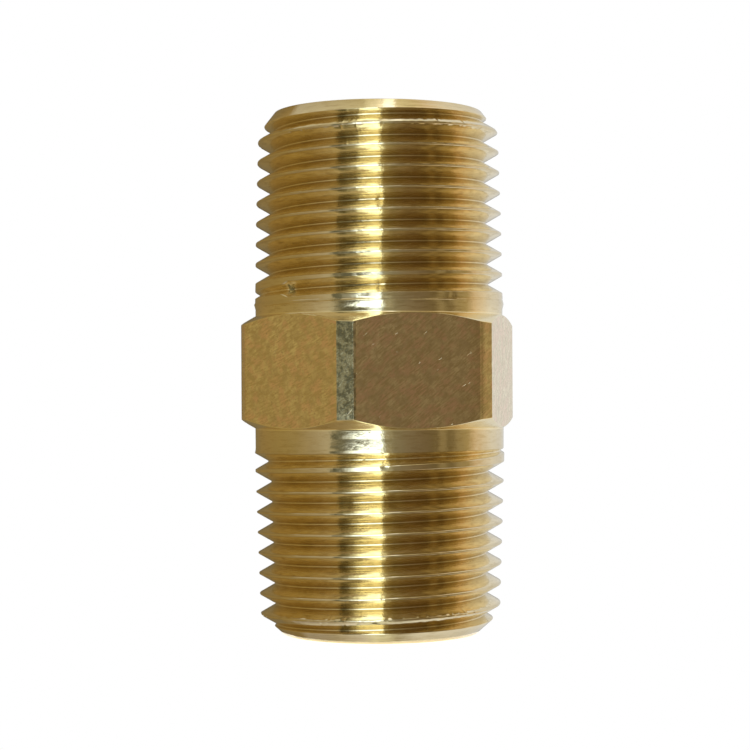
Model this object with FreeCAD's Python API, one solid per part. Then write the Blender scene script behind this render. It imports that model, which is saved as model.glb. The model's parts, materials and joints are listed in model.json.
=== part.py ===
"""Hex nipple in free-cutting brass: two male tapered pipe threads either side of a spanner hexagon.

The fitting is one piece, turned from hexagon bar and drilled through. Its axis is Z, the origin is
on the axis at the middle of the hexagon, and two of the hexagon's flats face -Y and +Y.
Millimetres and degrees.
"""
import FreeCAD, Part
import math
import os

INCH = 25.4

# Thread form: 60 degree tapered pipe thread, right hand, on both ends.
THREADS_PER_INCH = 18
TAPER_ON_DIAMETER = 1 / 16
THREAD_HALF_ANGLE = 30.0
PITCH_DIAMETER_AT_END = 0.61201 * INCH
CREST_TRUNCATION = 0.089
ROOT_TRUNCATION = 0.056

# Hexagon.
HEX_ACROSS_FLATS = 11 / 16 * INCH
HEX_HEIGHT = 7.7
HEX_CORNER_FLAT = 1.3
HEX_CHAMFER_ANGLE = 30.0

# Bore.
BORE_DIAMETER = 13 / 32 * INCH
BORE_CHAMFER = 0.4

# The two threaded ends, which were turned in two set-ups and differ a little.
# length: from the hexagon to the end face. face_diameter: flat end face, inside the 45 degree chamfer.
# neck_diameter, neck_length: plain turned neck beside the hexagon. runout_gap: from the hexagon to
# where the thread groove has faded out. runout_turns: the turns in which it fades. start_angle: where
# the groove crosses the end face.
UPPER_END = {
    "length": 9 / 16 * INCH,
    "face_diameter": 14.0,
    "neck_diameter": 17.16,
    "neck_length": 0.95,
    "runout_gap": 1.2,
    "runout_turns": 1.25,
    "start_angle": 188.0,
}
LOWER_END = {
    "length": 9 / 16 * INCH,
    "face_diameter": 13.1,
    "neck_diameter": 17.2,
    "neck_length": 1.2,
    "runout_gap": 1.5,
    "runout_turns": 0.8,
    "start_angle": 9.0,
}
RUNOUT_POWER = 1.5

# How the groove cutter is drawn: it starts beyond the end face and stands a little above the crests.
POINTS_PER_TURN = 12
LEAD_IN_TURNS = 1.5
CUTTER_MARGIN = 0.03

PITCH = INCH / THREADS_PER_INCH
SHARP_HEIGHT = PITCH / (2 * math.tan(math.radians(THREAD_HALF_ANGLE)))
SLOPE = TAPER_ON_DIAMETER / 2
CREST_RADIUS_AT_END = PITCH_DIAMETER_AT_END / 2 + SHARP_HEIGHT / 2 - CREST_TRUNCATION
HEX_HALF_HEIGHT = HEX_HEIGHT / 2
Z_AXIS = FreeCAD.Vector(0, 0, 1)
ORIGIN = FreeCAD.Vector(0, 0, 0)


def revolved(profile):
    """A solid of revolution about Z from (radius, height) corners."""
    points = [FreeCAD.Vector(r, 0, z) for r, z in profile]
    face = Part.Face(Part.makePolygon(points + points[:1]))
    return face.revolve(ORIGIN, Z_AXIS, 360)


def crest_radius(from_end):
    """Radius of the turned taper at a distance from the end face."""
    return CREST_RADIUS_AT_END + SLOPE * from_end


def shank(end):
    """The turned blank of one threaded end, standing on the plane of the hexagon's middle.

    It is drawn for the upper end and reaches down into the hexagon, so that the two fuse.
    """
    face_radius = end["face_diameter"] / 2
    neck_radius = end["neck_diameter"] / 2
    top = HEX_HALF_HEIGHT + end["length"]
    neck_top = HEX_HALF_HEIGHT + end["neck_length"]
    # the 45 degree chamfer meets the taper where both have the same radius
    chamfer = (CREST_RADIUS_AT_END - face_radius) / (1 - SLOPE)
    return revolved([
        (0, 0),
        (neck_radius, 0),
        (neck_radius, neck_top),
        (crest_radius(top - neck_top), neck_top),
        (face_radius + chamfer, top - chamfer),
        (face_radius, top),
        (0, top),
    ])


def groove_section(from_end, rise):
    """(radius, axial offset) corners of the groove cutter where its middle is from_end."""
    tangent = math.tan(math.radians(THREAD_HALF_ANGLE))
    sharp_crest = crest_radius(from_end) + CREST_TRUNCATION + rise
    sharp_root = sharp_crest - SHARP_HEIGHT
    root = sharp_root + ROOT_TRUNCATION
    outer = sharp_crest - CREST_TRUNCATION + CUTTER_MARGIN
    root_half = ROOT_TRUNCATION * tangent
    outer_half = (outer - sharp_root) * tangent
    return [(root, -root_half), (root, root_half), (outer, outer_half), (outer, -outer_half)]


def groove(end):
    """Cutter for the helical groove of one end, drawn for the upper end.

    The groove starts beyond the end face and fades out near the hexagon as its root rises.
    """
    top = HEX_HALF_HEIGHT + end["length"]
    depth = SHARP_HEIGHT - CREST_TRUNCATION - ROOT_TRUNCATION
    threaded = end["length"] - end["runout_gap"]
    turns = threaded / PITCH + LEAD_IN_TURNS
    count = math.ceil(turns * POINTS_PER_TURN)
    rails = [[], [], [], []]
    for i in range(count + 1):
        turn = LEAD_IN_TURNS - turns * i / count
        from_end = -turn * PITCH
        left = (threaded - from_end) / PITCH
        fading = max(0.0, 1 - left / end["runout_turns"])
        rise = (depth + CUTTER_MARGIN) * fading ** RUNOUT_POWER
        angle = math.radians(end["start_angle"]) + 2 * math.pi * turn
        section = groove_section(from_end, rise)
        for rail, (radius, offset) in zip(rails, section):
            x = radius * math.cos(angle)
            y = radius * math.sin(angle)
            rail.append(FreeCAD.Vector(x, y, top - from_end + offset))
    faces = groove_sides(rails) + [end_cap(rails, 0), end_cap(rails, -1)]
    shell = Part.makeShell(faces)
    shell.sewShape()
    cutter = Part.makeSolid(shell)
    if cutter.Volume < 0:
        cutter.reverse()
    return cutter


def groove_sides(rails):
    """The four long sides of the groove cutter, in pieces of about one turn."""
    last = len(rails[0]) - 1
    pieces = max(1, round(last / POINTS_PER_TURN))
    stops = [round(last * k / pieces) for k in range(pieces + 1)]
    curves = []
    for rail in rails:
        curve = Part.BSplineCurve()
        curve.interpolate(Points=rail, Parameters=[float(i) for i in range(last + 1)])
        curves.append(curve)
    faces = []
    for start, stop in zip(stops, stops[1:]):
        edges = []
        for curve in curves:
            piece = curve.copy()
            piece.segment(float(start), float(stop))
            edges.append(piece.toShape())
        for k in range(4):
            faces.append(Part.makeRuledSurface(edges[k], edges[(k + 1) % 4]))
    return faces


def end_cap(rails, which):
    """The flat face that closes one end of the groove cutter."""
    corners = [rail[which] for rail in rails]
    return Part.Face(Part.makePolygon(corners + corners[:1]))


def lower(shape):
    """Turns a shape drawn for the upper end over to the lower end, about the X axis."""
    turned = shape.copy()
    turned.rotate(ORIGIN, FreeCAD.Vector(1, 0, 0), 180)
    return turned


def hexagon():
    """Hexagon with bevelled corners, chamfered at both ends by a cone."""
    inradius = HEX_ACROSS_FLATS / 2
    circumradius = inradius / math.cos(math.radians(30))
    corners = []
    for k in range(6):
        angle = math.radians(60 * k)
        x = circumradius * math.cos(angle)
        y = circumradius * math.sin(angle)
        corners.append(FreeCAD.Vector(x, y, -HEX_HALF_HEIGHT))
    face = Part.Face(Part.makePolygon(corners + corners[:1]))
    prism = face.extrude(Z_AXIS * HEX_HEIGHT)
    upright = [e for e in prism.Edges if abs(e.tangentAt(e.FirstParameter).z) > 0.5]
    cut_back = HEX_CORNER_FLAT / (2 * math.cos(math.radians(30)))
    prism = prism.makeChamfer(cut_back, upright)
    chamfer_radius = inradius - 0.05
    reach = circumradius + 1
    drop = (reach - chamfer_radius) * math.tan(math.radians(HEX_CHAMFER_ANGLE))
    envelope = revolved([
        (0, -HEX_HALF_HEIGHT),
        (chamfer_radius, -HEX_HALF_HEIGHT),
        (reach, -HEX_HALF_HEIGHT + drop),
        (reach, HEX_HALF_HEIGHT - drop),
        (chamfer_radius, HEX_HALF_HEIGHT),
        (0, HEX_HALF_HEIGHT),
    ])
    return prism.common(envelope)


def bore():
    """Cutter for the through bore with a small chamfer at each mouth."""
    radius = BORE_DIAMETER / 2
    top = HEX_HALF_HEIGHT + UPPER_END["length"]
    bottom = -HEX_HALF_HEIGHT - LOWER_END["length"]
    wide = radius + BORE_CHAMFER
    return revolved([
        (0, bottom - 1),
        (wide, bottom - 1),
        (wide, bottom),
        (radius, bottom + BORE_CHAMFER),
        (radius, top - BORE_CHAMFER),
        (wide, top),
        (wide, top + 1),
        (0, top + 1),
    ])


def nipple_body():
    """The whole fitting."""
    body = hexagon().fuse([shank(UPPER_END), lower(shank(LOWER_END))]).removeSplitter()
    body = body.cut(bore())
    body = body.cut(groove(UPPER_END))
    return body.cut(lower(groove(LOWER_END)))


os.makedirs("parts", exist_ok=True)
made = nipple_body()
solids = made.Solids
print("solids", len(solids), "valid", made.isValid(), "volume", round(made.Volume, 3))
print("box", made.BoundBox)
print("faces", len(made.Faces))
solids[0].exportStep("parts/nipple_body.step")
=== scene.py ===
import json
import math

import bpy
import numpy as np
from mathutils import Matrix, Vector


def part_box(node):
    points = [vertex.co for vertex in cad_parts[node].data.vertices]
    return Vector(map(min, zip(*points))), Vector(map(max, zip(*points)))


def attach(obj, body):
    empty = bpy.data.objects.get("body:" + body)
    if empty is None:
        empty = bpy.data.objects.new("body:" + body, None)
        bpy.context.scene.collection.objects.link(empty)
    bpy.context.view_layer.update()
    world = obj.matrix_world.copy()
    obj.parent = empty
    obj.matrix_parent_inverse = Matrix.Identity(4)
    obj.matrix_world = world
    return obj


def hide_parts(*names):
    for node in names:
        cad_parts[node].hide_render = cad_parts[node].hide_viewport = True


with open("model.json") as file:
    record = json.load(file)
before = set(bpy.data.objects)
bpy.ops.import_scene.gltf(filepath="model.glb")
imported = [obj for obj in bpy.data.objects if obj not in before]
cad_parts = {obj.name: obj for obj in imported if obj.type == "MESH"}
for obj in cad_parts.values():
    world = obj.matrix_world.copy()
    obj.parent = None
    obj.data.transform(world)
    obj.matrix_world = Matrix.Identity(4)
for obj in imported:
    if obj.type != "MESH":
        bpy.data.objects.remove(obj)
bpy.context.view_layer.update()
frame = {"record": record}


# ---------------------------------------------------------------------------
# The hexagon. The fitting is cut from drawn brass bar, 11/16 inch across its
# flats, with bevelled corners. The flats keep the skin of the drawing die, and
# a cone is turned on both ends.
# ---------------------------------------------------------------------------
# every size of the fitting is in millimetres
MM = 0.001
body_low, body_high = (np.array(corner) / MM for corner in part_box("nipple_body"))
mounts = {mount["name"]: mount for mount in frame["record"]["mounts"]}

FLAT_RADIUS = -mounts["wrench_flat_front"]["pos_m"][1] / MM
HEX_HALF_HEIGHT = 3.85
CORNER_FLAT = 1.3
HALF_FLAT = math.radians(30)
CONE_START = FLAT_RADIUS - 0.05
CONE_SLOPE = math.tan(math.radians(30))
CORNER_SOFTNESS = 0.002
CONE_EDGE_WIDTH = 0.045

# the bevel on each corner: how far it is turned out of true, and how far the flats before and after
# it are rolled down towards it. Corners are counted from the one on +X.
BEVEL_TURN = (0.0, 4.0, -5.0, 0.0, -4.5, -9.0)
ROLL_BEFORE = (0.012, 0.0, 0.02, 0.01, 0.0, 0.032)
ROLL_AFTER = (0.0, 0.015, 0.01, 0.02, 0.0, 0.0)
ROLL_WIDTH = 0.95
# columns of points round the hexagon; those beside an edge lie a fraction of a degree from it
COLUMNS_ON_BEVEL = 3
COLUMNS_ON_FLAT = 46
BESIDE_EDGE = 0.06
AT_EDGE = BESIDE_EDGE / 3


def bevel(corner):
    """A corner's bevel: its direction and distance from the axis, and where it meets both flats."""
    turn = math.radians(BEVEL_TURN[corner])
    side = -1 if turn < 0 else 1
    to_corner = FLAT_RADIUS / math.cos(HALF_FLAT)
    half = math.atan2(CORNER_FLAT / 2, to_corner - CORNER_FLAT / 2 * math.tan(HALF_FLAT))
    held = FLAT_RADIUS / math.cos(HALF_FLAT - half)
    distance = held * math.cos(side * half - turn)
    meets = []
    for way in (-1, 1):
        lean = way * HALF_FLAT
        across = FLAT_RADIUS * math.cos(turn) - distance * math.cos(lean)
        along = distance * math.sin(lean) - FLAT_RADIUS * math.sin(turn)
        meets.append(60 * corner + math.degrees(math.atan(across / along)))
    return 60 * corner + BEVEL_TURN[corner], distance, meets


bevels = [bevel(corner) for corner in range(6)]
angles = []
for corner, (_, _, (before, after)) in enumerate(bevels):
    onward = bevels[(corner + 1) % 6][2][0] + (360 if corner == 5 else 0)
    angles += [before - BESIDE_EDGE, before - AT_EDGE, before + AT_EDGE]
    angles += list(np.linspace(before + BESIDE_EDGE, after - BESIDE_EDGE, COLUMNS_ON_BEVEL + 2))
    angles += [after - AT_EDGE, after + AT_EDGE]
    angles += list(np.linspace(after + BESIDE_EDGE, onward - BESIDE_EDGE, COLUMNS_ON_FLAT + 2))[:-1]
angles = np.sort(np.round(np.array(angles), 6) % 360)
COLUMNS = len(angles)


def soft_least(a, b, softness):
    """The smaller of two, rounded over where they are within softness of each other."""
    gap = np.clip((softness - np.abs(a - b)) / softness, 0, 1)
    return np.minimum(a, b) - gap ** 2 * softness / 4


def off_from(degrees, direction):
    """How far round from a direction, in radians either way."""
    return np.radians((degrees - direction + 180) % 360 - 180)


def bar_radius(degrees):
    """Distance from the axis to the skin of the bar, all the way round.

    The bar is where all its planes overlap, and each plane counts only near its own direction.
    """
    far_out, bevel_reach, flat_reach, furthest_roll = 99.0, 0.35, 0.6, 1.2
    radius = np.full_like(degrees, far_out)
    for direction, distance, _ in bevels:
        off = off_from(degrees, direction)
        near = np.abs(off) < bevel_reach
        radius = np.where(near, np.minimum(radius, distance / np.cos(off)), radius)
    half = FLAT_RADIUS * math.tan(HALF_FLAT) - CORNER_FLAT / 2 / math.cos(HALF_FLAT)
    for flat in range(6):
        off = off_from(degrees, 30 + 60 * flat)
        near = np.abs(off) < flat_reach
        off = np.where(near, off, 0)
        along = FLAT_RADIUS * np.tan(off)
        share = np.clip((np.abs(along) - half + ROLL_WIDTH) / ROLL_WIDTH, 0, furthest_roll)
        roll = np.where(along > 0, ROLL_BEFORE[(flat + 1) % 6], ROLL_AFTER[flat]) * share ** 2
        level = FLAT_RADIUS / np.cos(off) - roll
        radius = np.where(near, soft_least(radius, level, CORNER_SOFTNESS), radius)
    return radius


class Skin:
    """The fitting's one closed skin: rows of points round the axis, joined by bands of faces.

    A row is a pair: the numbers of its points, and how high each lies on the unwrapped map. Both
    have one entry more than there are columns, because the last closes the row.
    """

    def __init__(self):
        self.points = []
        self.count = 0
        self.faces = []
        self.places = []
        self.finishes = []

    def add(self, radius, height, columns=slice(None)):
        """Adds a point on each of the columns and returns their numbers."""
        turned = np.radians(angles[columns])
        self.points.append(np.stack([radius * np.cos(turned), radius * np.sin(turned), height], 1))
        self.count += len(turned)
        return np.arange(self.count - len(turned), self.count)

    def ring(self, radius, height, place):
        """Adds a row that goes straight round, at one place on the map."""
        radius = np.broadcast_to(np.asarray(radius, float), (COLUMNS,))
        height = np.broadcast_to(np.asarray(height, float), (COLUMNS,))
        numbers = self.add(radius, height)
        return np.append(numbers, numbers[0]), np.full(COLUMNS + 1, float(place))

    def join(self, first, second, finish, span=(0.0, 0.85)):
        """A band of faces. With the axis up, the second row is above the first on the outside."""
        across = span[0] + (span[1] - span[0]) * np.append(angles, angles[0] + 360) / 360
        for i in range(COLUMNS):
            kept = []
            for row, k in ((first, i), (first, i + 1), (second, i + 1), (second, i)):
                corner = (int(row[0][k]), across[k], row[1][k])
                if all(corner[0] != other[0] for other in kept):
                    kept.append(corner)
            if len(kept) > 2:
                self.faces.append([corner[0] for corner in kept])
                self.places.append([corner[1:] for corner in kept])
                self.finishes.append(finish)

    def climb(self, row, rings, way, span=(0.0, 0.85)):
        """Adds rings one after another, away from a row: up the outside, or down it.

        A ring is its radius, its height, how far it is from the last on the map, and its finish.
        """
        place = float(row[1][0])
        for radius, height, step, finish in rings:
            place += way * step
            made = self.ring(radius, height, place)
            self.join(*((row, made) if way > 0 else (made, row)), finish, span)
            row = made
        return row


skin = Skin()
DRAWN, TURNED, THREAD, BORE = range(4)

hex_radius = bar_radius(angles)
cone_edge = HEX_HALF_HEIGHT - (hex_radius - CONE_START) * CONE_SLOPE
edge_width = np.minimum(CONE_EDGE_WIDTH, 0.3 * (hex_radius - CONE_START))
FLAT_ROWS = 7
EDGE_STEP, CONE_STEP = 0.08, 0.25
hex_middle = skin.ring(hex_radius, 0.0, 0.0)
hex_ends = {}
for side in (1, -1):
    rings = []
    for share in np.linspace(0, 1, FLAT_ROWS + 1)[1:]:
        z = side * (cone_edge - CONE_EDGE_WIDTH) * share
        rings.append((hex_radius, z, HEX_HALF_HEIGHT / FLAT_ROWS, DRAWN))
    # the edge between flat and cone is broken by taking off its burr
    for inward, up in ((0.2, -0.1), (1.0, CONE_SLOPE)):
        z = side * (cone_edge + up * edge_width)
        rings.append((hex_radius - inward * edge_width, z, EDGE_STEP, TURNED))
    for share in (0.75, 0.5, 0.25, 0.0):
        out = (hex_radius - edge_width - CONE_START) * share
        rings.append((CONE_START + out, side * (HEX_HALF_HEIGHT - out * CONE_SLOPE), CONE_STEP, TURNED))
    hex_ends[side] = skin.climb(hex_middle, rings, side)


# ---------------------------------------------------------------------------
# The threaded ends. Each is turned to a taper of 1 in 16, with a neck beside
# the hexagon and a chamfer at its face. A single-point tool then cuts the
# right-hand 60 degree thread, 18 to the inch, which runs out at the neck.
# ---------------------------------------------------------------------------
INCH = 25.4
PITCH = INCH / 18
TAPER = 1 / 32
FLANK = math.tan(math.radians(30))
SHARP_HEIGHT = PITCH / (2 * FLANK)
CREST_CUT = 0.089
ROOT_CUT = 0.056
CREST_AT_FACE = 0.61201 * INCH / 2 + SHARP_HEIGHT / 2 - CREST_CUT
SHANK = body_high[2] - HEX_HALF_HEIGHT
CREST_SOFTNESS = 0.016
# how far from the hexagon the rows start to follow the thread, and how close a row may come to the
# rows at both ends before it is welded to them
THREAD_FROM = 0.12
WELD = 0.004
BEHIND_CHAMFER = 0.04
# the thread's height on the unwrapped map, which follows its flanks and so is taller than the shank
MAP_PER_MM = 1.84
MAP_INSET = 0.18

# side: +1 above the hexagon. start: where a groove crosses the face, in degrees.
# face_radius, chamfer_slope: the line of the chamfer. edge: how far from the face it stops, because
# the edge is worn down. gap: from the hexagon to the end of the groove.
# shoulder: the step from the taper to the neck, as distances from the hexagon.
# neck: (distance from the hexagon, radius) from the thread to the hexagon; None is on the taper.
# fading: (turns before the groove's end, how far its root has risen).
# stray, scribe: how far the tool drifts back once it has left the groove, and how deep it marks.
UPPER = dict(
    side=1, start=188.0, face_radius=7.08, chamfer_slope=0.78, edge=0.19, gap=1.2,
    shoulder=(0.93, 0.84),
    neck=[(7.0, None), (1.9, 8.6), (0.93, 8.62), (0.84, 8.685), (0.62, 8.597), (0.2, 8.592), (0.0, 8.592)],
    fading=[(0.0, 1.107), (0.2, 0.64), (0.3, 0.5), (0.318, 0.47), (0.328, 0.13), (0.6, 0.04), (0.9, 0.0)],
    stray=0.37, scribe=0.035)
LOWER = dict(
    side=-1, start=-9.0, face_radius=6.72, chamfer_slope=1.13, edge=0.04, gap=1.5,
    shoulder=(1.62, 1.55),
    neck=[(1.62, None), (1.55, 8.63), (1.4, 8.632), (0.2, 8.638), (0.0, 8.638)],
    fading=[(0.0, 1.107), (0.084, 0.82), (0.2, 0.55), (0.35, 0.33), (0.584, 0.16), (0.85, 0.0)],
    stray=0.0, scribe=0.0)


def crest_radius(from_face):
    """Radius of the turned taper at a distance from the end face."""
    return CREST_AT_FACE + TAPER * from_face


def chamfer_height(end):
    """How far from the face the chamfer meets the taper."""
    return (CREST_AT_FACE - end["face_radius"]) / (end["chamfer_slope"] - TAPER)


def blank_radius(end, from_face):
    """The turned blank before threading: chamfer, taper, neck."""
    chamfer = chamfer_height(end)
    beyond_face = (-1.0, end["face_radius"] - end["chamfer_slope"])
    stops = [beyond_face, (chamfer, crest_radius(chamfer))]
    for from_hex, radius in end["neck"]:
        at = SHANK - from_hex
        stops.append((at, crest_radius(at) if radius is None else radius))
    return np.interp(from_face, *zip(*stops))


def groove_root(end, turns_left, centre):
    """Radius of the root of the groove, with its middle at a distance from the face."""
    left, risen = zip(*end["fading"])
    rise = np.interp(turns_left, left, risen)
    return crest_radius(centre) + CREST_CUT - SHARP_HEIGHT + rise


def groove_radius(root, offset):
    """Radius of the groove beside its middle: a flat root between two flanks."""
    return root + np.maximum(np.abs(offset) / FLANK, ROOT_CUT)


def groove_reach(end, root, centre, way):
    """How far from its middle the groove's flank comes out through the blank, by halving."""
    low, high = np.zeros_like(centre), np.full_like(centre, 0.55 * PITCH)
    halvings, least = 22, 0.05
    for _ in range(halvings):
        middle = (low + high) / 2
        cut = groove_radius(root, middle) < blank_radius(end, centre + way * middle)
        low, high = np.where(cut, middle, low), np.where(cut, high, middle)
    return np.maximum(low, least)


def groove_turn(end, turn):
    """One turn of the groove, per column: height of its middle, root radius, reach up and down."""
    side = end["side"]
    advance = PITCH * (turn + (angles - end["start"]) / 360)
    centre = -side * advance
    turns_left = (SHANK - end["gap"] - centre) / PITCH
    turns_past = -turns_left
    gone = turns_past > 0
    stray_turns, mark_turns = 0.3, (0.25, 0.4, 0.68, 0.8)
    centre = centre - end["stray"] * np.clip(turns_past / stray_turns, 0, 1)
    root = groove_root(end, turns_left, centre)
    marked = np.interp(turns_past, mark_turns, (0, 1, 1, 0))
    shallow = blank_radius(end, centre) - end["scribe"] * marked - ROOT_CUT
    root = np.where(gone, np.minimum(root, shallow), root)
    reach = [groove_reach(end, root, centre, -side * way) for way in (1, -1)]
    return dict(z=side * (body_high[2] - centre), root=root, up=reach[0], down=reach[1])


def between_grooves(end, this, above):
    """Heights of the rows from the middle of one groove up to just below the next."""
    def flank(reach):
        root = np.minimum(ROOT_CUT * FLANK, 0.2 * reach)
        soft = np.minimum(CREST_SOFTNESS, 0.25 * reach)
        return [root, (root + reach) / 2, reach - soft, reach + soft]

    rising = [this["z"] + step for step in [0 * this["up"]] + flank(this["up"])]
    falling = [above["z"] - step for step in flank(above["down"])][::-1]
    low, high = rising[-1], falling[0]
    width = high - low
    # two rows of the crest lie on the blank's own corners where these are in reach, and never
    # closer to each other or to the flanks than a fifth of the crest's width
    chamfer = chamfer_height(end)
    neck = [SHANK - at for at in end["shoulder"]]
    near_face = np.abs(this["z"]) > body_high[2] - SHANK / 2
    corners = []
    for at_face, at_neck in zip((chamfer, chamfer + BEHIND_CHAMFER), neck):
        corners.append(end["side"] * (body_high[2] - np.where(near_face, at_face, at_neck)))
    corners.sort(key=lambda z: z[0])
    first = np.clip(corners[0], low + 0.2 * width, high - 0.5 * width)
    second = np.clip(corners[1], first + 0.2 * width, high - 0.2 * width)
    return rising + [first, second] + falling


def thread_end(end, low_row, low_z, high_row, high_z):
    """Joins the rows that follow the thread between a row below and a row above."""
    side = end["side"]
    first = math.floor((low_z - side * body_high[2]) / PITCH) - 2
    last = math.ceil((high_z - side * body_high[2]) / PITCH) + 3
    grooves = [groove_turn(end, turn) for turn in range(first, last + 1)]
    rows = []
    for number, this in enumerate(grooves[:-1]):
        for z in between_grooves(end, this, grooves[number + 1]):
            radius = blank_radius(end, body_high[2] - side * z)
            for groove in (this, grooves[number + 1]):
                cut = groove_radius(groove["root"], z - groove["z"])
                radius = soft_least(radius, cut, CREST_SOFTNESS)
            inside = (z > low_z + WELD) & (z < high_z - WELD)
            numbers = np.where(z <= low_z + WELD, low_row[0][:-1], high_row[0][:-1])
            if inside.any():
                numbers[inside] = skin.add(radius[inside], z[inside], inside)
            share = np.clip((z - low_z) / (high_z - low_z), 0, 1)
            rows.append((numbers, low_row[1][0] + share * (high_row[1][0] - low_row[1][0])))
    turn_rows = len(rows) // (len(grooves) - 1)
    for number in range(len(rows) - 1 - turn_rows):
        closed = [tuple(np.append(part, onward[0]) for part, onward in zip(rows[k], rows[k + turn_rows]))
                  for k in (number, number + 1)]
        skin.join(*closed, THREAD)


BORE_RADIUS = mounts["through_bore"]["dims"]["r_mm"]
BORE_CHAMFER = 0.4
mouths = {}
for end in (UPPER, LOWER):
    side, top, edge = end["side"], body_high[2], end["edge"]
    edge_radius = end["face_radius"] + end["chamfer_slope"] * edge
    neck_radius = end["neck"][-1][1]
    # the neck's first rings, in the corner of the hexagon: radius, distance from it, step on the map
    in_corner = min(neck_radius + 0.03, CONE_START - 0.003)
    foot = [(in_corner, 0.004, 0.1), (neck_radius, 0.04, 0.1), (neck_radius, THREAD_FROM, 0.15)]
    row = skin.climb(hex_ends[side], [(radius, side * (HEX_HALF_HEIGHT + up), step, TURNED)
                                      for radius, up, step in foot], side)
    far_place = float(row[1][0]) + side * MAP_PER_MM * (SHANK - MAP_INSET)
    chamfer_row = skin.ring(edge_radius, side * (top - edge), far_place)
    ends = [(row, side * (HEX_HALF_HEIGHT + THREAD_FROM)), (chamfer_row, side * (top - edge))]
    (low_row, low_z), (high_row, high_z) = ends if side > 0 else ends[::-1]
    thread_end(end, low_row, low_z, high_row, high_z)
    # the face, from its worn edge in over a faint crown to the bore's chamfer: radius, depth, step
    inner = BORE_RADIUS + BORE_CHAMFER
    rim = edge_radius - 0.05
    flat = rim - 6 * edge
    face = [(edge_radius - 0.015, 0.91 * edge, EDGE_STEP), (rim, 0.84 * edge, EDGE_STEP),
            (0.5 * (rim + flat), 0.4 * edge, 0.4), (flat, 0.0, 0.4), (0.5 * (flat + inner), 0.0, 0.9),
            (inner + 0.02, 0.0, 0.9), (inner - 0.012, 0.022, EDGE_STEP),
            (BORE_RADIUS + 0.5 * BORE_CHAMFER, 0.5 * BORE_CHAMFER, 0.5), (BORE_RADIUS, BORE_CHAMFER, 0.5)]
    mouths[side] = skin.climb(chamfer_row, [(radius, side * (top - down), step, TURNED)
                                            for radius, down, step in face], side)


# ---------------------------------------------------------------------------
# The bore. It is drilled straight through, 13/32 inch, and both mouths are
# chamfered. Its wall closes the skin.
# ---------------------------------------------------------------------------
BORE_ROWS = 14
BORE_SPAN = (0.87, 1.0)
outside_low, outside_high = (float(mouths[side][1][0]) for side in (-1, 1))
mouth_z = body_high[2] - BORE_CHAMFER
step = (outside_high - outside_low) / BORE_ROWS
row = mouths[1]
for k in range(1, BORE_ROWS + 1):
    z = mouth_z - 2 * mouth_z * k / BORE_ROWS
    place = outside_high - step * k
    made = skin.ring(BORE_RADIUS, z, place) if k < BORE_ROWS else mouths[-1]
    skin.join(row, made, BORE, BORE_SPAN)
    row = made


# ---------------------------------------------------------------------------
# Wear. The fitting has been handled loose with others, so crests and corners
# have small dents, and the crests waver a little where the tool tore the metal.
# ---------------------------------------------------------------------------
DENTS = 90
DENT_HEIGHTS = (-17, 17)
DENT_WIDTHS = (0.14, 0.3)
DENT_DEPTHS = (0.015, 0.045)
WORN_OUTSIDE = 7.3
# how the crests waver: size, waves round the axis, turn along it, and start
WAVERS = ((0.0022, 23, 3.1, 0.4), (0.0016, 61, 5.3, 1.9), (0.0012, 97, 9.7, 2.7))
WAVER_GAIN = 1.6
WAVER_DEPTH = 0.25
TORN_FROM = 15.6
TORN_DEPTH = 0.05
TORN_SIZE = 0.02
SHARP_FROM = 38

points = np.concatenate(skin.points)
height = np.abs(points[:, 2])
spread = np.hypot(points[:, 0], points[:, 1])
around = np.degrees(np.arctan2(points[:, 1], points[:, 0]))
draw = np.random.default_rng(18)
dents = []
for _ in range(DENTS):
    dents.append((draw.uniform(-180, 180), draw.uniform(*DENT_HEIGHTS),
                  draw.uniform(*DENT_WIDTHS), draw.uniform(*DENT_DEPTHS)))
lost = np.zeros(len(points))
for angle, z, width, depth in dents:
    along = off_from(around, angle) * spread
    away = (along / width) ** 2 + ((points[:, 2] - z) / (0.8 * width)) ** 2
    lost = np.maximum(lost, depth * np.exp(-away))
waver = sum(size * np.sin(np.radians(around) * count + points[:, 2] * turn + start)
            for size, count, turn, start in WAVERS)
below_crest = crest_radius(body_high[2] - height) - spread
on_crest = np.clip(1 - below_crest / WAVER_DEPTH, 0, 1) * (height > HEX_HALF_HEIGHT + 0.2)
lost += np.abs(waver) * WAVER_GAIN * on_crest
# the first crest of each end is thin, and the tool has torn it
torn = np.clip(1 - below_crest / TORN_DEPTH, 0, 1) * np.clip(height - TORN_FROM, 0, 1)
lost += np.abs(draw.normal(0, TORN_SIZE, len(points))) * torn
shrunk = np.where(spread > WORN_OUTSIDE, 1 - lost / spread, 1.0)
points[:, 0] *= shrunk
points[:, 1] *= shrunk

# the finished fitting: one closed piece, with sharp edges only where it is cut or bent sharply
mesh = bpy.data.meshes.new("hex_nipple")
mesh.from_pydata((points * MM).tolist(), [], skin.faces)
mesh.polygons.foreach_set("material_index", skin.finishes)
# the unwrapped map runs up the outside, and keeps a narrow margin below and above
MARGIN = 0.002
places = np.array([place for face in skin.places for place in face], float)
up = (places[:, 1] - outside_low) / (outside_high - outside_low)
places[:, 1] = MARGIN + (1 - 2 * MARGIN) * up
mesh.uv_layers.new(name="OFBake").data.foreach_set("uv", places.ravel())
mesh.validate()
mesh.polygons.foreach_set("use_smooth", [True] * len(mesh.polygons))
mesh.set_sharp_from_angle(angle=math.radians(SHARP_FROM))
body = bpy.data.objects.new("hex_nipple", mesh)
bpy.context.scene.collection.objects.link(body)
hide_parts("nipple_body")
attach(body, "root")


# ---------------------------------------------------------------------------
# The brass. One free-cutting alloy with four finishes: the bar's drawn skin,
# turned surfaces with the tool's rings, the cut thread, and the drilled bore.
# ---------------------------------------------------------------------------
BRASS = (0.90, 0.79, 0.50)
# a pattern that isn't drawn out along any axis
EVEN = (1, 1, 1)
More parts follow.
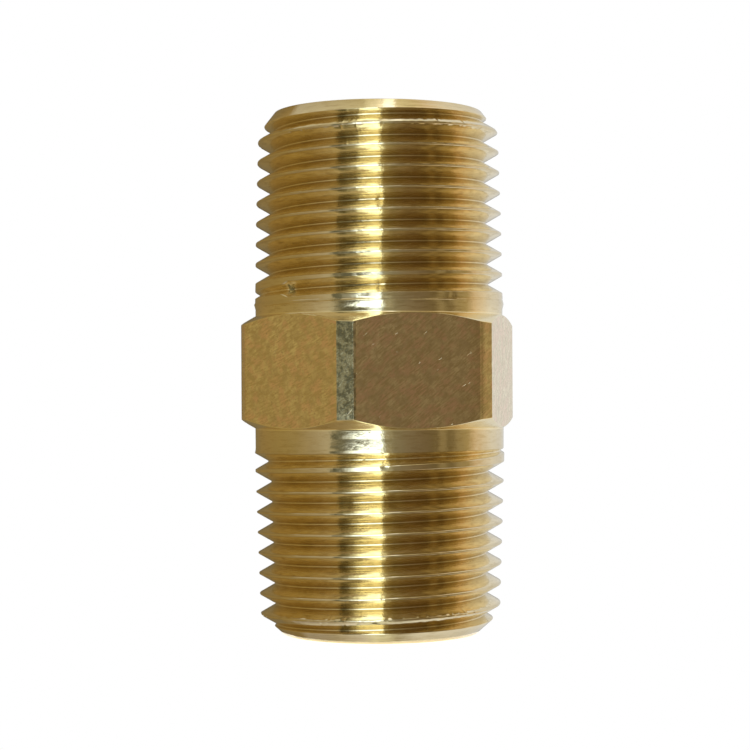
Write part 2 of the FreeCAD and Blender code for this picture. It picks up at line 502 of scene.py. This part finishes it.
# the scaly bevels: across the line through both, how far out they start, and how far aside they end
ACROSS_SCALY = (0.866, 0.5)
BEVEL_FROM = (9.5, 9.55)
BEVEL_TO = (0.67, 0.63)
# levels of the thread, which are radii carried down the taper to the middle of the hexagon; over them
# painted shade darkens the roots, and the crests are painted darker to dim their highlight
SHADED_ROOT_TO_FLANK = (7.8, 8.35)
FLANK_TO_DIMMED_CREST = (8.66, 8.8)


class Nodes:
    """Adds shader nodes to a new material and wires them as they are made."""

    def __init__(self, name):
        self.material = bpy.data.materials.new(name)
        self.material.use_nodes = True
        self.tree = self.material.node_tree
        self.tree.nodes.clear()

    def add(self, kind, inputs=(), **settings):
        node = self.tree.nodes.new(kind)
        for key, value in settings.items():
            setattr(node, key, value)
        for key, value in dict(inputs).items():
            if isinstance(value, bpy.types.NodeSocket):
                self.tree.links.new(value, node.inputs[key])
            else:
                node.inputs[key].default_value = value
        return node

    def place(self, turned=(0.0, 0.0, 0.0)):
        """Position in millimetres, turned about the axes."""
        where = self.add("ShaderNodeTexCoord").outputs["Object"]
        return self.add("ShaderNodeMapping", {
            "Vector": where, "Rotation": [math.radians(a) for a in turned], "Scale": (1000.0,) * 3,
        }).outputs[0]

    def noise(self, where, stretch, scale, detail=3.0, roughness=0.55):
        """Uneven patches from 0 to 1, closer together along an axis with more stretch."""
        at = self.add("ShaderNodeVectorMath", {0: where, 1: stretch}, operation="MULTIPLY")
        return self.add("ShaderNodeTexNoise", {
            "Vector": at.outputs[0], "Scale": scale, "Detail": detail, "Roughness": roughness,
        }).outputs["Fac"]

    def lines(self, along, scale, detail=2.0):
        """Uneven lines at right angles to a distance."""
        return self.add("ShaderNodeTexNoise", {"W": along, "Scale": scale, "Detail": detail},
                        noise_dimensions="1D").outputs["Fac"]

    def between(self, value, low, high, out_low=0.0, out_high=1.0):
        """Where a value lies between two others, as a value between two more."""
        return self.add("ShaderNodeMapRange", {
            "Value": value, "From Min": low, "From Max": high, "To Min": out_low, "To Max": out_high,
        }).outputs["Result"]

    def maths(self, operation, a, b=0.0):
        return self.add("ShaderNodeMath", {0: a, 1: b}, operation=operation).outputs[0]

    def mix(self, share, a, b):
        return self.add("ShaderNodeMix", {0: share, 6: a, 7: b}, data_type="RGBA").outputs[2]

    def bump(self, height, distance, normal=None):
        """Fine relief, as deep as a distance in millimetres."""
        inputs = {"Height": height, "Distance": distance * MM}
        if normal is not None:
            inputs["Normal"] = normal
        return self.add("ShaderNodeBump", inputs).outputs["Normal"]

    def from_axis(self, where):
        """Distance from the axis and height, in millimetres."""
        parts = self.add("ShaderNodeSeparateXYZ", {0: where}).outputs
        squares = [self.maths("MULTIPLY", parts[k], parts[k]) for k in (0, 1)]
        return self.maths("SQRT", self.maths("ADD", *squares)), parts[2]

    def metal(self, colour, roughness, normal):
        shader = self.add("ShaderNodeBsdfPrincipled", {
            "Base Color": colour, "Metallic": 1.0, "Roughness": roughness, "Normal": normal})
        self.add("ShaderNodeOutputMaterial", {"Surface": shader.outputs[0]})
        return self.material


def shade(by):
    """The brass's own colour, darkened or tinted."""
    return tuple(c * k for c, k in zip(BRASS, by)) + (1.0,)


def drawn_brass():
    """Dull, mottled skin with pits, and short scratches from handling."""
    n = Nodes("drawn_brass")
    clean, worn = shade((1.1, 1.11, 1.14)), shade((0.96, 0.94, 0.92))
    dull, ruddy = shade((0.78, 0.74, 0.72)), shade((1.05, 0.83, 0.92))
    rubbed, pitted = shade((0.74, 0.69, 0.6)), shade((0.56, 0.5, 0.46))
    grey, scaled = shade((0.82, 0.85, 0.86)), shade((0.38, 0.4, 0.39))
    scratched = shade((1.05, 1.02, 1.1))
    at = n.place()
    patches = n.noise(at, EVEN, scale=0.42)
    mottle = n.noise(at, EVEN, scale=1.7, detail=4.0, roughness=0.68)
    red = n.noise(n.place((20, 50, 0)), EVEN, scale=1.1, detail=3.0, roughness=0.6)
    grain = n.noise(at, EVEN, scale=5.5, detail=3.0, roughness=0.65)
    slanted = n.noise(n.place((0, 38, 20)), (1, 1, 6), scale=1.7, detail=4.0, roughness=0.65)
    cuts = n.noise(n.place((35, 30, 60)), (1, 1, 12), scale=0.8, detail=1.0)
    cuts = n.between(cuts, 0.76, 0.8)
    pits = n.between(grain, 0.62, 0.72)
    colour = n.mix(n.between(patches, 0.35, 0.65), clean, worn)
    colour = n.mix(n.between(mottle, 0.4, 0.62), colour, dull)
    colour = n.mix(n.between(red, 0.46, 0.6, 0.0, 0.7), colour, ruddy)
    colour = n.mix(n.between(slanted, 0.47, 0.6, 0.0, 0.85), colour, rubbed)
    colour = n.mix(pits, colour, pitted)
    # the bevels at 60 and 240 degrees from +X are left scaly by the die
    x, y, _ = n.add("ShaderNodeSeparateXYZ", {0: at}).outputs
    across = [n.maths("MULTIPLY", part, share) for part, share in zip((x, y), ACROSS_SCALY)]
    aside = n.maths("ABSOLUTE", n.maths("SUBTRACT", *across))
    radius, _ = n.from_axis(at)
    on_bevel = n.maths("MULTIPLY", n.between(radius, *BEVEL_FROM), n.between(aside, *BEVEL_TO))
    scale = n.noise(at, EVEN, scale=2.6, detail=3.0, roughness=0.7)
    scaly = n.maths("MULTIPLY", n.between(scale, 0.45, 0.58), on_bevel)
    colour = n.mix(on_bevel, colour, grey)
    colour = n.mix(scaly, colour, scaled)
    colour = n.mix(cuts, colour, scratched)
    roughness = n.maths("ADD", n.between(mottle, 0.3, 0.7, 0.09, 0.17), n.maths("MULTIPLY", pits, 0.08))
    normal = n.bump(slanted, distance=0.009)
    normal = n.bump(grain, distance=0.005, normal=normal)
    normal = n.bump(n.maths("MULTIPLY", scale, on_bevel), distance=0.008, normal=normal)
    return n.metal(colour, roughness, n.bump(cuts, distance=-0.01, normal=normal))


def turned_brass():
    """Bright turned metal: rings from the tool's feed, with a little drag between them."""
    n = Nodes("turned_brass")
    bright, worn = shade((1, 1, 1)), shade((0.95, 0.92, 0.88))
    at = n.place()
    radius, height = n.from_axis(at)
    along = n.maths("ADD", n.maths("ABSOLUTE", height), n.maths("MULTIPLY", radius, -1.3))
    rings = n.lines(along, scale=8.0, detail=3.0)
    drag = n.noise(at, EVEN, scale=4.0)
    patches = n.noise(at, EVEN, scale=1.0)
    colour = n.mix(n.between(patches, 0.35, 0.7), bright, worn)
    roughness = n.between(drag, 0.3, 0.7, 0.05, 0.1)
    normal = n.bump(rings, distance=0.004)
    return n.metal(colour, roughness, n.bump(drag, distance=0.002, normal=normal))


def thread_brass():
    """Cut thread: fine lines along the flanks, with painted shade in the roots and crests painted darker
    to dim their highlight.
    """
    n = Nodes("thread_brass")
    # painted shade: the root colour is darkened by depth, and the crest colour is darkened to dim the
    # crests' highlight
    shaded_root, on_flank, on_crest = (shade(by) for by in (
        (0.74, 0.7, 0.64), (0.97, 0.96, 0.98), (0.76, 0.75, 0.77)))
    handled, stained = shade((0.84, 0.81, 0.79)), shade((0.68, 0.63, 0.55))
    at = n.place()
    radius, height = n.from_axis(at)
    level = n.maths("ADD", radius, n.maths("MULTIPLY", n.maths("ABSOLUTE", height), TAPER))
    lines = n.lines(level, scale=9.0, detail=2.0)
    chatter = n.noise(at, EVEN, scale=3.5)
    patches = n.noise(at, EVEN, scale=0.9)
    streaks = n.noise(at, (1, 1, 7), scale=0.9, detail=3.0, roughness=0.6)
    # painted shade by depth in the thread: dark in the roots, bright on the flanks, darker again on the
    # crests
    colour = n.mix(n.between(level, *SHADED_ROOT_TO_FLANK), shaded_root, on_flank)
    colour = n.mix(n.between(level, *FLANK_TO_DIMMED_CREST), colour, on_crest)
    colour = n.mix(n.between(patches, 0.4, 0.7, 0.0, 0.7), colour, handled)
    colour = n.mix(n.between(streaks, 0.5, 0.68, 0.0, 0.75), colour, stained)
    roughness = n.between(chatter, 0.3, 0.7, 0.07, 0.14)
    normal = n.bump(lines, distance=0.006)
    return n.metal(colour, roughness, n.bump(chatter, distance=0.005, normal=normal))


def bore_brass():
    """Drilled wall: coarse feed rings and a film of cutting dirt."""
    n = Nodes("bore_brass")
    clean, dirty = shade((0.95, 0.95, 0.95)), shade((0.78, 0.74, 0.7))
    at = n.place()
    _, height = n.from_axis(at)
    feed = n.lines(height, scale=3.5, detail=3.0)
    patches = n.noise(at, EVEN, scale=1.1)
    colour = n.mix(n.between(patches, 0.35, 0.7), clean, dirty)
    roughness = n.between(patches, 0.3, 0.7, 0.26, 0.38)
    return n.metal(colour, roughness, n.bump(feed, distance=0.012))


for finish in (drawn_brass(), turned_brass(), thread_brass(), bore_brass()):
    mesh.materials.append(finish)


# ---------------------------------------------------------------------------
# The studio. The fitting stands on a round white plinth in a glowing tent of
# cloth, which the brass mirrors: tan on the left, a tall window of light in
# front, darker cloth right of it, and pale cloth at the back on the right.
# ---------------------------------------------------------------------------
# the camera: its direction from the axis and its lean in degrees, its distance and height in
# metres, its lens in millimetres and the lens's shift in shares of the view
VIEW_FROM = 252.8
LEAN = 0.3
EYE_DISTANCE = 0.134
EYE_HEIGHT = -0.00153
LENS = 92.2
LENS_SHIFT = (-0.0058, 0.0253)
# the tent and the plinth, in metres
TENT_RADIUS = 0.5
TENT_STRENGTH = 4.0
PLINTH_RADIUS = 0.0069
PLINTH_WHITE = 0.8
FLOOR_HEIGHT = body_low[2] * MM

# cloth at the sides: degrees to the right of the camera, and how it glows
SIDE_CLOTH = [
    (-180, (0.10, 0.08, 0.05)),
    (-165, (0.24, 0.18, 0.085)),
    (-136, (0.34, 0.24, 0.095)),
    (-105, (0.38, 0.28, 0.11)),
    (-83, (0.39, 0.30, 0.135)),
    (-62, (0.45, 0.37, 0.23)),
    (-48, (0.54, 0.48, 0.35)),
    (-42, (0.50, 0.46, 0.34)),
    (-37, (0.25, 0.23, 0.155)),
    (-31, (0.14, 0.135, 0.09)),
    (-22, (0.12, 0.12, 0.085)),
    (-14, (0.17, 0.17, 0.12)),
    (-8.5, (0.44, 0.45, 0.40)),
    (-5.5, (2.50, 3.00, 3.60)),
    (1.2, (2.50, 3.00, 3.60)),
    (2.6, (0.37, 0.37, 0.28)),
    (7, (0.32, 0.30, 0.21)),
    (12, (0.29, 0.26, 0.18)),
    (25, (0.255, 0.205, 0.135)),
    (40, (0.215, 0.16, 0.095)),
    (52, (0.20, 0.15, 0.075)),
    (57, (0.335, 0.262, 0.14)),
    (61, (0.335, 0.262, 0.14)),
    (65, (0.225, 0.17, 0.08)),
    (69, (0.235, 0.175, 0.085)),
    (75, (0.37, 0.29, 0.155)),
    (88, (0.47, 0.365, 0.18)),
    (97, (0.80, 0.63, 0.44)),
    (109, (0.88, 0.78, 0.66)),
    (124, (0.90, 0.88, 0.88)),
    (168, (0.73, 0.73, 0.72)),
    (180, (0.10, 0.08, 0.05)),
]
# cloth overhead: degrees to the right of the line from the back to the camera, and how it glows
TOP_CLOTH = [
    (-90, (0.55, 0.47, 0.33)),
    (-45, (0.57, 0.53, 0.46)),
    (-8, (0.66, 0.60, 0.42)),
    (-5, (0.95, 0.90, 0.70)),
    (2, (1.05, 1.00, 0.85)),
    (4, (1.80, 1.85, 1.90)),
    (8, (1.80, 1.85, 1.90)),
    (10, (0.84, 0.76, 0.53)),
    (25, (0.86, 0.78, 0.55)),
    (50, (1.10, 1.02, 0.84)),
    (90, (1.10, 1.08, 1.00)),
]
# cloth below: how far to the right of the axis, as a share of the tent's radius, and how it glows
LOW_CLOTH = [
    (-0.6, (0.34, 0.27, 0.17)),
    (-0.35, (0.45, 0.40, 0.34)),
    (-0.28, (0.50, 0.45, 0.35)),
    (-0.12, (0.75, 0.72, 0.70)),
    (-0.03, (0.95, 0.96, 0.80)),
    (0.05, (0.95, 0.96, 0.80)),
    (0.12, (0.44, 0.39, 0.27)),
    (0.2, (0.40, 0.36, 0.25)),
    (0.34, (0.42, 0.38, 0.31)),
    (0.6, (0.55, 0.50, 0.42)),
]


def cloth_ramp(n, value, stops, low, high):
    """Colours by a value, each held at its share of the tent's strength."""
    ramp = n.add("ShaderNodeValToRGB", {"Fac": n.between(value, low, high)})
    elements = ramp.color_ramp.elements
    while len(elements) < len(stops):
        elements.new(1.0)
    for element, (where, _) in zip(elements, stops):
        element.position = (where - low) / (high - low)
    for element, (_, colour) in zip(elements, stops):
        element.color = tuple(c / TENT_STRENGTH for c in colour) + (1.0,)
    return ramp.outputs["Color"]


# Where the tent changes. Heights are shares of its radius, and turns are degrees to the right of
# the camera. Each pair is where a change starts and where it is complete.
FOOT_HEIGHTS, FOOT_MOST = (-0.015, -0.05), 1.1
HEAD_HEIGHTS = (0.1, 0.125)
# the window is wider at the foot and the head, where the cloth left of it is drawn back
NEAR_DRAWN, NEAR_TURNS = 8.5, (-14, -6)
FAR_DRAWN, FAR_TURNS = 13.5, (-33, -14)
DRAWN_TURNS = (-46, -40)
# half way up it is dimmer, and at the foot and the head the cloth right of it catches its light
WINDOW_MIDDLE, WINDOW_REACH, DIMMED = -2, (6, 3.5), -2.3
BESIDE_MIDDLE, BESIDE_REACH, LIT = 6, (7, 4), 1.5
# the cloths overhead and below, which reach further on the left
OVERHEAD, UNDERFOOT = (0.9, 0.97), (-0.92, -0.98)
LEFT_REACH, LEFT_FROM = 0.27, (0.0, -0.2)


def tent_cloth():
    """Cloth that glows, by its direction and its height in the tent."""
    n = Nodes("tent_cloth")
    where = n.add("ShaderNodeTexCoord").outputs["Object"]
    x, y, z = n.add("ShaderNodeSeparateXYZ", {0: where}).outputs

    def at_height(value, shares, *out):
        return n.between(value, *(share * TENT_RADIUS for share in shares), *out)

    right = n.maths("MULTIPLY", n.maths("ARCTAN2", y, x), math.degrees(1))
    foot = at_height(z, FOOT_HEIGHTS, 0.0, FOOT_MOST)
    foot_or_head = n.maths("MAXIMUM", foot, at_height(z, HEAD_HEIGHTS))
    drawn = n.maths("ADD", n.between(right, *NEAR_TURNS, NEAR_DRAWN, 0),
                    n.between(right, *FAR_TURNS, FAR_DRAWN, 0))
    drawn = n.maths("MULTIPLY", drawn, foot_or_head)
    right = n.maths("ADD", right, n.maths("MULTIPLY", drawn, n.between(right, *DRAWN_TURNS)))
    over = n.maths("MULTIPLY", n.maths("ARCTAN2", y, z), math.degrees(1))
    sides = cloth_ramp(n, right, SIDE_CLOTH, -180, 180)
    top = cloth_ramp(n, over, TOP_CLOTH, -90, 90)
    below = cloth_ramp(n, n.maths("MULTIPLY", y, 1 / TENT_RADIUS), LOW_CLOTH, -0.6, 0.6)
    reach = at_height(y, LEFT_FROM, 0.0, LEFT_REACH * TENT_RADIUS)
    high = at_height(n.maths("ADD", z, reach), OVERHEAD)
    under = at_height(n.maths("SUBTRACT", z, reach), UNDERFOOT)
    cloth = n.mix(under, n.mix(high, sides, top), below)

    def around_turn(middle, reach):
        return n.between(n.maths("ABSOLUTE", n.maths("SUBTRACT", right, middle)), *reach)

    ends = n.between(foot_or_head, 0.0, 1.0)
    half_way = n.maths("SUBTRACT", 1.0, ends)
    window = n.maths("MULTIPLY", half_way, around_turn(WINDOW_MIDDLE, WINDOW_REACH))
    beside = n.maths("MULTIPLY", ends, around_turn(BESIDE_MIDDLE, BESIDE_REACH))
    change = n.maths("ADD", n.maths("MULTIPLY", window, DIMMED), n.maths("MULTIPLY", beside, LIT))
    strength = n.maths("ADD", change, TENT_STRENGTH)
    glow = n.add("ShaderNodeEmission", {"Color": cloth, "Strength": strength})
    n.add("ShaderNodeOutputMaterial", {"Surface": glow.outputs[0]})
    return n.material


def staged(name, verts, faces, material):
    """A piece of the studio, which isn't part of the fitting."""
    shape = bpy.data.meshes.new(name)
    shape.from_pydata(verts, [], faces)
    shape.materials.append(material)
    made = bpy.data.objects.new(name, shape)
    bpy.context.scene.collection.objects.link(made)
    return made


TENT_SIDES, TENT_ROWS = 72, 24
verts, faces = [], []
for row in range(TENT_ROWS + 1):
    up = math.pi * (row / TENT_ROWS - 0.5)
    for k in range(TENT_SIDES):
        turned = 2 * math.pi * k / TENT_SIDES
        verts.append((TENT_RADIUS * math.cos(up) * math.cos(turned),
                      TENT_RADIUS * math.cos(up) * math.sin(turned), TENT_RADIUS * math.sin(up)))
for row in range(TENT_ROWS):
    for k in range(TENT_SIDES):
        a, b = row * TENT_SIDES + k, row * TENT_SIDES + (k + 1) % TENT_SIDES
        faces.append((a, a + TENT_SIDES, b + TENT_SIDES, b))
tent = staged("tent", verts, faces, tent_cloth())
tent.rotation_euler = (0, 0, math.radians(VIEW_FROM))
tent.visible_camera = False


def plinth_paint():
    """White paint, with a glow of its own where it is looked at or mirrored."""
    n = Nodes("plinth_paint")
    paint = n.add("ShaderNodeBsdfDiffuse", {"Color": (PLINTH_WHITE,) * 3 + (1.0,)})
    ray = n.add("ShaderNodeLightPath").outputs
    seen = n.maths("MAXIMUM", ray["Is Camera Ray"], ray["Is Glossy Ray"])
    seen = n.maths("MAXIMUM", seen, ray["Is Transmission Ray"])
    glow = n.add("ShaderNodeEmission", {
        "Color": (1, 1, 1, 1), "Strength": n.maths("MULTIPLY", seen, PLINTH_WHITE)})
    both = n.add("ShaderNodeAddShader", {0: paint.outputs[0], 1: glow.outputs[0]})
    n.add("ShaderNodeOutputMaterial", {"Surface": both.outputs[0]})
    return n.material


verts = [(0, 0, FLOOR_HEIGHT)]
for k in range(TENT_SIDES):
    turned = 2 * math.pi * k / TENT_SIDES
    verts.append((PLINTH_RADIUS * math.cos(turned), PLINTH_RADIUS * math.sin(turned), FLOOR_HEIGHT))
faces = [(0, k + 1, (k + 1) % TENT_SIDES + 1) for k in range(TENT_SIDES)]
staged("plinth", verts, faces, plinth_paint())

world = bpy.data.worlds.new("white_room")
world.use_nodes = True
background = world.node_tree.nodes["Background"].inputs
background["Color"].default_value = (1, 1, 1, 1)
background["Strength"].default_value = 1.0
bpy.context.scene.world = world

lens = bpy.data.cameras.new("camera")
lens.sensor_width = 36.0
lens.lens = LENS
lens.clip_start = 0.01
lens.shift_x, lens.shift_y = LENS_SHIFT
camera = bpy.data.objects.new("camera", lens)
bpy.context.scene.collection.objects.link(camera)
turned = math.radians(VIEW_FROM)
camera.location = (EYE_DISTANCE * math.cos(turned), EYE_DISTANCE * math.sin(turned), EYE_HEIGHT)
camera.rotation_euler = (math.radians(90), math.radians(LEAN), turned + math.radians(90))
bpy.context.scene.camera = camera
bpy.context.scene.view_settings.view_transform = "Standard"
